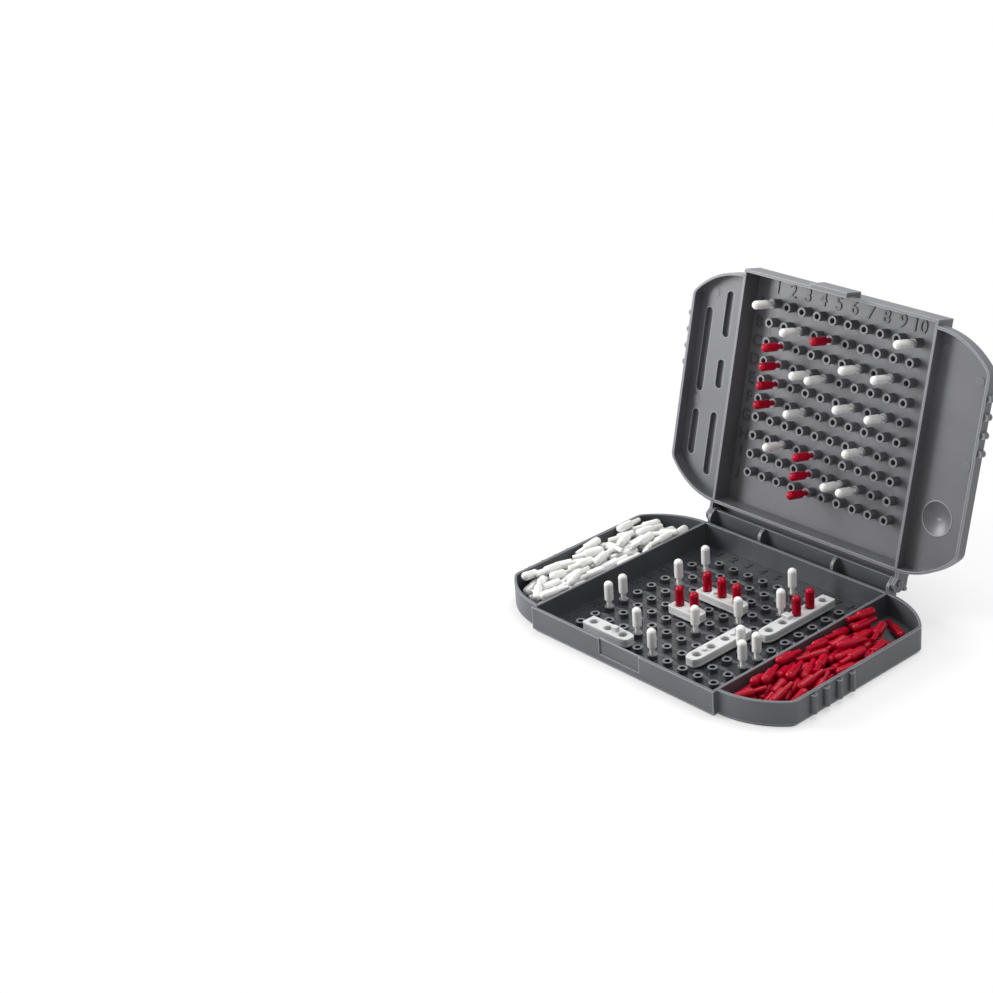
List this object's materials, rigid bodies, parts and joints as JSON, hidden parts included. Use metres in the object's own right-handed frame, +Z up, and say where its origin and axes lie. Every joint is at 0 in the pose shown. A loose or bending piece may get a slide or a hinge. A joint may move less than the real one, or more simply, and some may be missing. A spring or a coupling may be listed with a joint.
{
  "type": "fleet guessing travel case",
  "caption": "Hinged travel case for a peg-and-ship guessing game: socket grids in tray and lid, lift-out ships, pull-out pegs and side bins of spare pegs.",
  "frame": {"origin": "middle of the tray's peg grid on the face the tray rests on", "axes": "+X along the case from column 1 to column 10, +Y to the hinge at the rear, +Z up"},
  "size_m": [0.1738, 0.1557, 0.1352],
  "materials": {
    "case_plastic": "satin moulded grey",
    "grid_plastic": "satin moulded grey",
    "ship_plastic": "satin light grey",
    "white_peg": "glossy white",
    "red_peg": "glossy deep red"
  },
  "bodies": {
    "tray": {"tray_shell": "case_plastic", "tray_socket_grid": "grid_plastic", "white_peg_stock": "white_peg", "red_peg_stock": "red_peg"},
    "lid": {"lid_shell": "case_plastic", "lid_socket_grid": "grid_plastic"},
    "aircraft_carrier": {"aircraft_carrier": "ship_plastic"},
    "heavy_cruiser": {"heavy_cruiser": "ship_plastic"},
    "light_cruiser": {"light_cruiser": "ship_plastic"},
    "patrol_boat": {"patrol_boat": "ship_plastic"},
    "submarine": {"submarine": "ship_plastic"},
    "peg_red_lid_b5": {"peg_red_lid_b5": "red_peg"},
    "peg_red_lid_c2": {"peg_red_lid_c2": "red_peg"},
    "peg_red_lid_d2": {"peg_red_lid_d2": "red_peg"},
    "peg_red_lid_e2": {"peg_red_lid_e2": "red_peg"},
    "peg_red_lid_f2": {"peg_red_lid_f2": "red_peg"},
    "peg_red_lid_h5": {"peg_red_lid_h5": "red_peg"},
    "peg_red_lid_i5": {"peg_red_lid_i5": "red_peg"},
    "peg_red_lid_j5": {"peg_red_lid_j5": "red_peg"},
    "peg_red_tray_b9": {"peg_red_tray_b9": "red_peg"},
    "peg_red_tray_c9": {"peg_red_tray_c9": "red_peg"},
    "peg_red_tray_d4": {"peg_red_tray_d4": "red_peg"},
    "peg_red_tray_d5": {"peg_red_tray_d5": "red_peg"},
    "peg_red_tray_d6": {"peg_red_tray_d6": "red_peg"},
    "peg_red_tray_f4": {"peg_red_tray_f4": "red_peg"},
    "peg_red_tray_f5": {"peg_red_tray_f5": "red_peg"},
    "peg_white_lid_a1": {"peg_white_lid_a1": "white_peg"},
    "peg_white_lid_a10": {"peg_white_lid_a10": "white_peg"},
    "peg_white_lid_b3": {"peg_white_lid_b3": "white_peg"},
    "peg_white_lid_c7": {"peg_white_lid_c7": "white_peg"},
    "peg_white_lid_c9": {"peg_white_lid_c9": "white_peg"},
    "peg_white_lid_d4": {"peg_white_lid_d4": "white_peg"},
    "peg_white_lid_d5": {"peg_white_lid_d5": "white_peg"},
    "peg_white_lid_e7": {"peg_white_lid_e7": "white_peg"},
    "peg_white_lid_e9": {"peg_white_lid_e9": "white_peg"},
    "peg_white_lid_f4": {"peg_white_lid_f4": "white_peg"},
    "peg_white_lid_g8": {"peg_white_lid_g8": "white_peg"},
    "peg_white_lid_h3": {"peg_white_lid_h3": "white_peg"},
    "peg_white_lid_i7": {"peg_white_lid_i7": "white_peg"},
    "peg_white_lid_i8": {"peg_white_lid_i8": "white_peg"},
    "peg_white_tray_a7": {"peg_white_tray_a7": "white_peg"},
    "peg_white_tray_b2": {"peg_white_tray_b2": "white_peg"},
    "peg_white_tray_c8": {"peg_white_tray_c8": "white_peg"},
    "peg_white_tray_d2": {"peg_white_tray_d2": "white_peg"},
    "peg_white_tray_e7": {"peg_white_tray_e7": "white_peg"},
    "peg_white_tray_g1": {"peg_white_tray_g1": "white_peg"},
    "peg_white_tray_g10": {"peg_white_tray_g10": "white_peg"},
    "peg_white_tray_g6": {"peg_white_tray_g6": "white_peg"},
    "peg_white_tray_g9": {"peg_white_tray_g9": "white_peg"},
    "peg_white_tray_h1": {"peg_white_tray_h1": "white_peg"},
    "peg_white_tray_h10": {"peg_white_tray_h10": "white_peg"},
    "peg_white_tray_i4": {"peg_white_tray_i4": "white_peg"},
    "peg_white_tray_j6": {"peg_white_tray_j6": "white_peg"}
  },
  "joints": [
    {"name": "lid_hinge", "type": "hinge", "parent": "tray", "child": "lid", "pos_m": [0, 0.06253, 0.01472], "axis": [-1, 0, 0], "range_deg": [-103.5, 0]},
    {"name": "aircraft_carrier_lift", "type": "slide", "parent": "tray", "child": "aircraft_carrier", "axis": [0, 0, 1], "range_m": [0, 0.01]},
    {"name": "heavy_cruiser_lift", "type": "slide", "parent": "tray", "child": "heavy_cruiser", "axis": [0, 0, 1], "range_m": [0, 0.01]},
    {"name": "light_cruiser_lift", "type": "slide", "parent": "tray", "child": "light_cruiser", "axis": [0, 0, 1], "range_m": [0, 0.01]},
    {"name": "patrol_boat_lift", "type": "slide", "parent": "tray", "child": "patrol_boat", "axis": [0, 0, 1], "range_m": [0, 0.01]},
    {"name": "submarine_lift", "type": "slide", "parent": "tray", "child": "submarine", "axis": [0, 0, 1], "range_m": [0, 0.01]},
    {"name": "peg_red_lid_b5_pull", "type": "slide", "parent": "lid", "child": "peg_red_lid_b5", "axis": [0, -0.9724, 0.2334], "range_m": [0, 0.012]},
    {"name": "peg_red_lid_c2_pull", "type": "slide", "parent": "lid", "child": "peg_red_lid_c2", "axis": [0, -0.9724, 0.2334], "range_m": [0, 0.012]},
    {"name": "peg_red_lid_d2_pull", "type": "slide", "parent": "lid", "child": "peg_red_lid_d2", "axis": [0, -0.9724, 0.2334], "range_m": [0, 0.012]},
    {"name": "peg_red_lid_e2_pull", "type": "slide", "parent": "lid", "child": "peg_red_lid_e2", "axis": [0, -0.9724, 0.2334], "range_m": [0, 0.012]},
    {"name": "peg_red_lid_f2_pull", "type": "slide", "parent": "lid", "child": "peg_red_lid_f2", "axis": [0, -0.9724, 0.2334], "range_m": [0, 0.012]},
    {"name": "peg_red_lid_h5_pull", "type": "slide", "parent": "lid", "child": "peg_red_lid_h5", "axis": [0, -0.9724, 0.2334], "range_m": [0, 0.012]},
    {"name": "peg_red_lid_i5_pull", "type": "slide", "parent": "lid", "child": "peg_red_lid_i5", "axis": [0, -0.9724, 0.2334], "range_m": [0, 0.012]},
    {"name": "peg_red_lid_j5_pull", "type": "slide", "parent": "lid", "child": "peg_red_lid_j5", "axis": [0, -0.9724, 0.2334], "range_m": [0, 0.012]},
    {"name": "peg_red_tray_b9_pull", "type": "slide", "parent": "aircraft_carrier", "child": "peg_red_tray_b9", "axis": [0, 0, 1], "range_m": [0, 0.012]},
    {"name": "peg_red_tray_c9_pull", "type": "slide", "parent": "aircraft_carrier", "child": "peg_red_tray_c9", "axis": [0, 0, 1], "range_m": [0, 0.012]},
    {"name": "peg_red_tray_d4_pull", "type": "slide", "parent": "light_cruiser", "child": "peg_red_tray_d4", "axis": [0, 0, 1], "range_m": [0, 0.012]},
    {"name": "peg_red_tray_d5_pull", "type": "slide", "parent": "light_cruiser", "child": "peg_red_tray_d5", "axis": [0, 0, 1], "range_m": [0, 0.012]},
    {"name": "peg_red_tray_d6_pull", "type": "slide", "parent": "light_cruiser", "child": "peg_red_tray_d6", "axis": [0, 0, 1], "range_m": [0, 0.012]},
    {"name": "peg_red_tray_f4_pull", "type": "slide", "parent": "patrol_boat", "child": "peg_red_tray_f4", "axis": [0, 0, 1], "range_m": [0, 0.012]},
    {"name": "peg_red_tray_f5_pull", "type": "slide", "parent": "patrol_boat", "child": "peg_red_tray_f5", "axis": [0, 0, 1], "range_m": [0, 0.012]},
    {"name": "peg_white_lid_a1_pull", "type": "slide", "parent": "lid", "child": "peg_white_lid_a1", "axis": [0, -0.9724, 0.2334], "range_m": [0, 0.012]},
    {"name": "peg_white_lid_a10_pull", "type": "slide", "parent": "lid", "child": "peg_white_lid_a10", "axis": [0, -0.9724, 0.2334], "range_m": [0, 0.012]},
    {"name": "peg_white_lid_b3_pull", "type": "slide", "parent": "lid", "child": "peg_white_lid_b3", "axis": [0, -0.9724, 0.2334], "range_m": [0, 0.012]},
    {"name": "peg_white_lid_c7_pull", "type": "slide", "parent": "lid", "child": "peg_white_lid_c7", "axis": [0, -0.9724, 0.2334], "range_m": [0, 0.012]},
    {"name": "peg_white_lid_c9_pull", "type": "slide", "parent": "lid", "child": "peg_white_lid_c9", "axis": [0, -0.9724, 0.2334], "range_m": [0, 0.012]},
    {"name": "peg_white_lid_d4_pull", "type": "slide", "parent": "lid", "child": "peg_white_lid_d4", "axis": [0, -0.9724, 0.2334], "range_m": [0, 0.012]},
    {"name": "peg_white_lid_d5_pull", "type": "slide", "parent": "lid", "child": "peg_white_lid_d5", "axis": [0, -0.9724, 0.2334], "range_m": [0, 0.012]},
    {"name": "peg_white_lid_e7_pull", "type": "slide", "parent": "lid", "child": "peg_white_lid_e7", "axis": [0, -0.9724, 0.2334], "range_m": [0, 0.012]},
    {"name": "peg_white_lid_e9_pull", "type": "slide", "parent": "lid", "child": "peg_white_lid_e9", "axis": [0, -0.9724, 0.2334], "range_m": [0, 0.012]},
    {"name": "peg_white_lid_f4_pull", "type": "slide", "parent": "lid", "child": "peg_white_lid_f4", "axis": [0, -0.9724, 0.2334], "range_m": [0, 0.012]},
    {"name": "peg_white_lid_g8_pull", "type": "slide", "parent": "lid", "child": "peg_white_lid_g8", "axis": [0, -0.9724, 0.2334], "range_m": [0, 0.012]},
    {"name": "peg_white_lid_h3_pull", "type": "slide", "parent": "lid", "child": "peg_white_lid_h3", "axis": [0, -0.9724, 0.2334], "range_m": [0, 0.012]},
    {"name": "peg_white_lid_i7_pull", "type": "slide", "parent": "lid", "child": "peg_white_lid_i7", "axis": [0, -0.9724, 0.2334], "range_m": [0, 0.012]},
    {"name": "peg_white_lid_i8_pull", "type": "slide", "parent": "lid", "child": "peg_white_lid_i8", "axis": [0, -0.9724, 0.2334], "range_m": [0, 0.012]},
    {"name": "peg_white_tray_a7_pull", "type": "slide", "parent": "tray", "child": "peg_white_tray_a7", "axis": [0, 0, 1], "range_m": [0, 0.012]},
    {"name": "peg_white_tray_b2_pull", "type": "slide", "parent": "tray", "child": "peg_white_tray_b2", "axis": [0, 0, 1], "range_m": [0, 0.012]},
    {"name": "peg_white_tray_c8_pull", "type": "slide", "parent": "tray", "child": "peg_white_tray_c8", "axis": [0, 0, 1], "range_m": [0, 0.012]},
    {"name": "peg_white_tray_d2_pull", "type": "slide", "parent": "tray", "child": "peg_white_tray_d2", "axis": [0, 0, 1], "range_m": [0, 0.012]},
    {"name": "peg_white_tray_e7_pull", "type": "slide", "parent": "tray", "child": "peg_white_tray_e7", "axis": [0, 0, 1], "range_m": [0, 0.012]},
    {"name": "peg_white_tray_g1_pull", "type": "slide", "parent": "tray", "child": "peg_white_tray_g1", "axis": [0, 0, 1], "range_m": [0, 0.012]},
    {"name": "peg_white_tray_g10_pull", "type": "slide", "parent": "tray", "child": "peg_white_tray_g10", "axis": [0, 0, 1], "range_m": [0, 0.012]},
    {"name": "peg_white_tray_g6_pull", "type": "slide", "parent": "tray", "child": "peg_white_tray_g6", "axis": [0, 0, 1], "range_m": [0, 0.012]},
    {"name": "peg_white_tray_g9_pull", "type": "slide", "parent": "tray", "child": "peg_white_tray_g9", "axis": [0, 0, 1], "range_m": [0, 0.012]},
    {"name": "peg_white_tray_h1_pull", "type": "slide", "parent": "tray", "child": "peg_white_tray_h1", "axis": [0, 0, 1], "range_m": [0, 0.012]},
    {"name": "peg_white_tray_h10_pull", "type": "slide", "parent": "tray", "child": "peg_white_tray_h10", "axis": [0, 0, 1], "range_m": [0, 0.012]},
    {"name": "peg_white_tray_i4_pull", "type": "slide", "parent": "tray", "child": "peg_white_tray_i4", "axis": [0, 0, 1], "range_m": [0, 0.012]},
    {"name": "peg_white_tray_j6_pull", "type": "slide", "parent": "tray", "child": "peg_white_tray_j6", "axis": [0, 0, 1], "range_m": [0, 0.012]}
  ]
}
